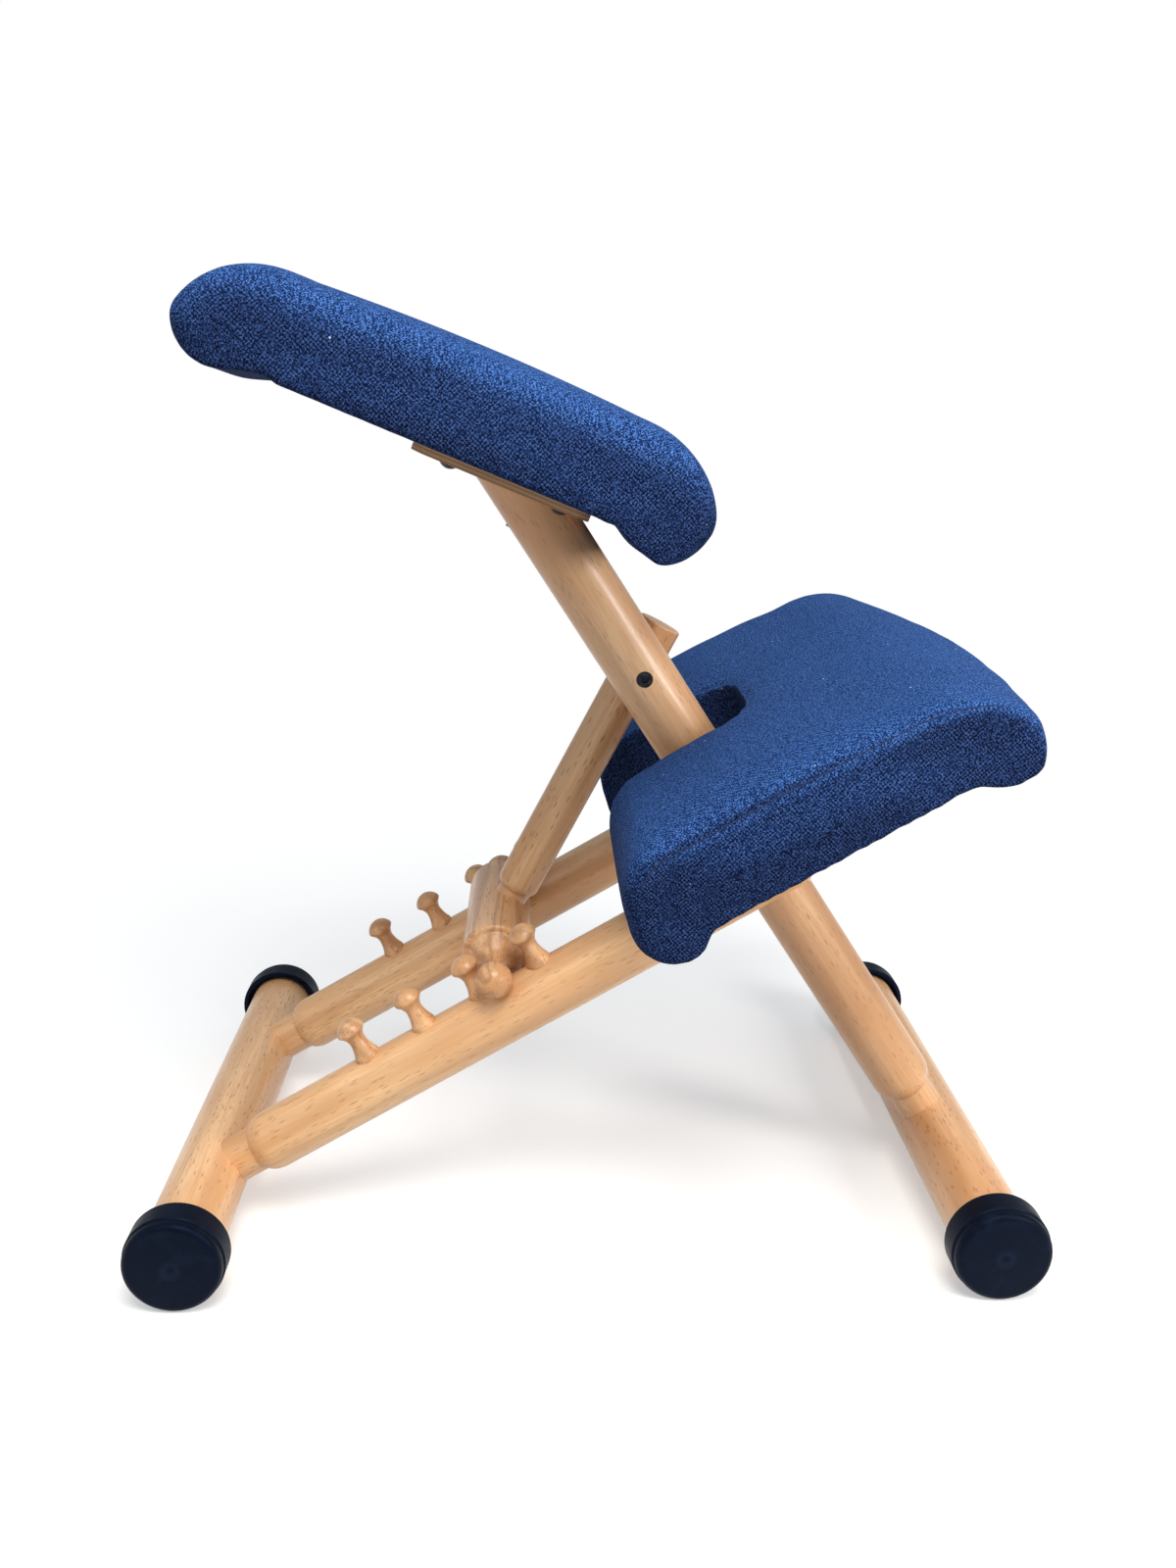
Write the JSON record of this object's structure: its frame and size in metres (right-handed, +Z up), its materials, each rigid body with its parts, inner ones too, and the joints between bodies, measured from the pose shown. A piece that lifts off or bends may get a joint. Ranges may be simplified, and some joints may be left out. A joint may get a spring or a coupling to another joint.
{
  "type": "kneeling chair",
  "caption": "Wooden kneeling chair: sloped seat on a round post, slotted knee pad on two rails, and a hinged strut that hooks behind turned pegs to set the height.",
  "frame": {"origin": "on the floor, midway between the two crossbars and midway between their ends", "axes": "+X to the front, where the knees point, +Y to the sitter's left, +Z up"},
  "size_m": [0.582, 0.444, 0.6179],
  "materials": {
    "beech": "satin",
    "plywood": "satin",
    "seat_fabric": "woven",
    "black_rubber": "matte",
    "black_steel": "satin",
    "zinc_steel": "satin",
    "spacer_plastic": "matte"
  },
  "bodies": {
    "rail_frame": {"board_screws": "zinc_steel", "crossbar_cap_rear_left": "black_rubber", "crossbar_cap_rear_right": "black_rubber", "knee_board": "plywood", "knee_bolts": "black_steel", "knee_core": "plywood", "knee_cushion": "seat_fabric", "knee_tee_nuts": "zinc_steel", "peg_left_1": "beech", "peg_left_2": "beech", "peg_left_3": "beech", "peg_left_4": "beech", "peg_right_1": "beech", "peg_right_2": "beech", "peg_right_3": "beech", "peg_right_4": "beech", "pivot_axle": "zinc_steel", "pivot_nut_left": "zinc_steel", "pivot_nut_right": "zinc_steel", "pivot_spacer_long": "spacer_plastic", "pivot_spacer_short": "spacer_plastic", "rail_left": "beech", "rail_right": "beech", "rear_crossbar": "beech"},
    "post_frame": {"crossbar_cap_front_left": "black_rubber", "crossbar_cap_front_right": "black_rubber", "front_crossbar": "beech", "post": "beech", "post_screws": "zinc_steel", "seat_bolts": "black_steel", "seat_core": "plywood", "seat_cushion": "seat_fabric", "seat_plate": "plywood", "seat_tee_nuts": "zinc_steel", "strut_nut": "black_steel", "strut_screw": "black_steel", "strut_washer": "zinc_steel"},
    "strut": {"notch_barrel": "beech", "notch_end_left": "beech", "notch_end_right": "beech", "strut": "beech"}
  },
  "joints": [
    {"name": "frame_fold", "type": "hinge", "parent": "rail_frame", "child": "post_frame", "pos_m": [0.11463, 0, 0.25153], "axis": [0, 1, 0], "range_deg": [0, 9]},
    {"name": "strut_swing", "type": "hinge", "parent": "post_frame", "child": "strut", "pos_m": [0.0358, 0, 0.37156], "axis": [0, 1, 0], "range_deg": [0, 95]}
  ]
}
